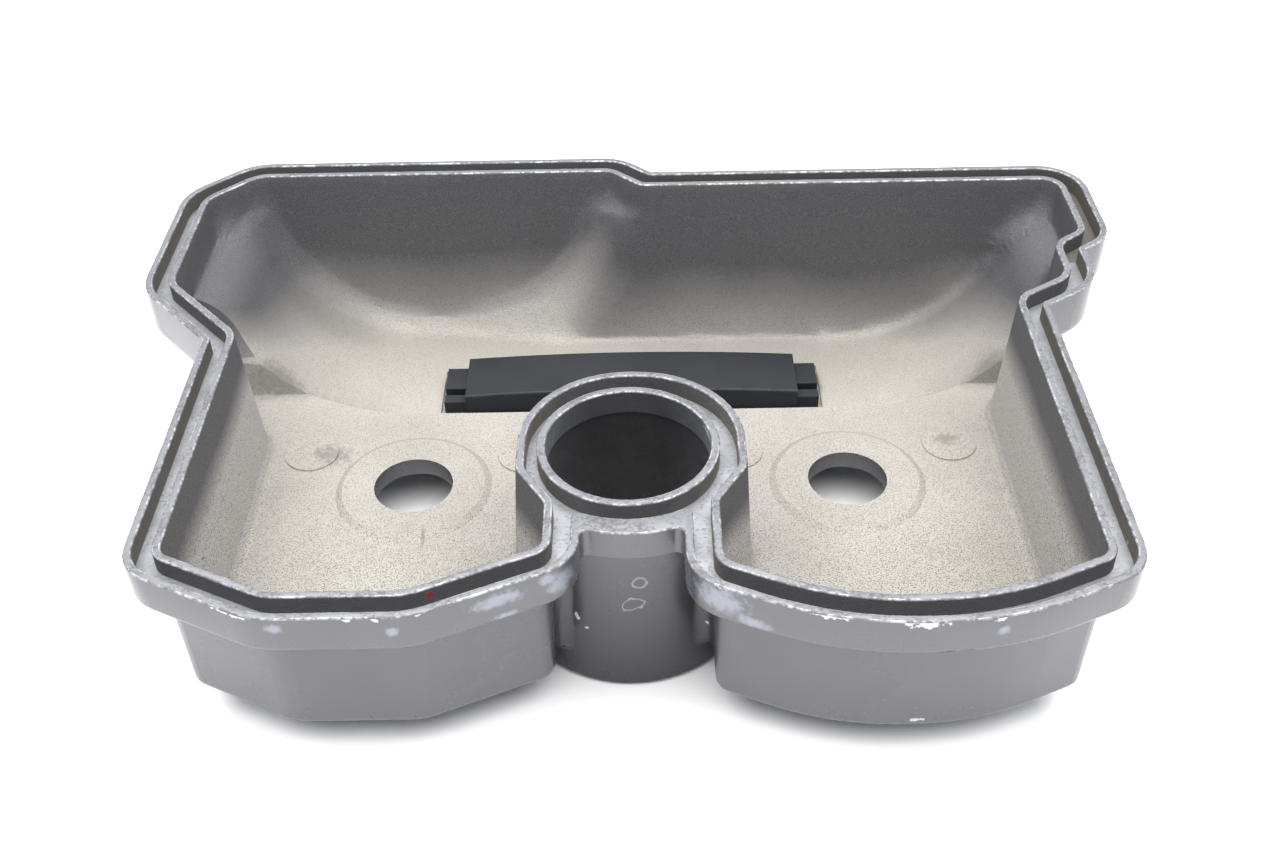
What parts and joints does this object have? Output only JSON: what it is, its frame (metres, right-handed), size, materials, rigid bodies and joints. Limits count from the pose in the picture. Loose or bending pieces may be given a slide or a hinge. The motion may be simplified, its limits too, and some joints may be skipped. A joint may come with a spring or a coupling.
{
  "type": "engine valve cover",
  "caption": "Die-cast cover for a twin-camshaft cylinder head: open on its sealing side, with a gasket groove, a spark plug well, bolt holes and a chain guide.",
  "frame": {"origin": "on the axis of the spark plug well, at the sealing plane where the lips of the gasket groove end", "axes": "+Z out of the open side, along the spark plug well towards the cylinder head; +X from the left camshaft lobe to the right one; +Y towards the cam chain side"},
  "size_m": [0.1789, 0.1294, 0.039],
  "materials": {
    "cast_alloy": "satin grey cast skin, with bare machined lips and bore",
    "guide_plastic": "moulded black, slightly worn"
  },
  "bodies": {
    "root": {"cover_casting": "cast_alloy", "chain_guide": "guide_plastic"}
  },
  "joints": []
}
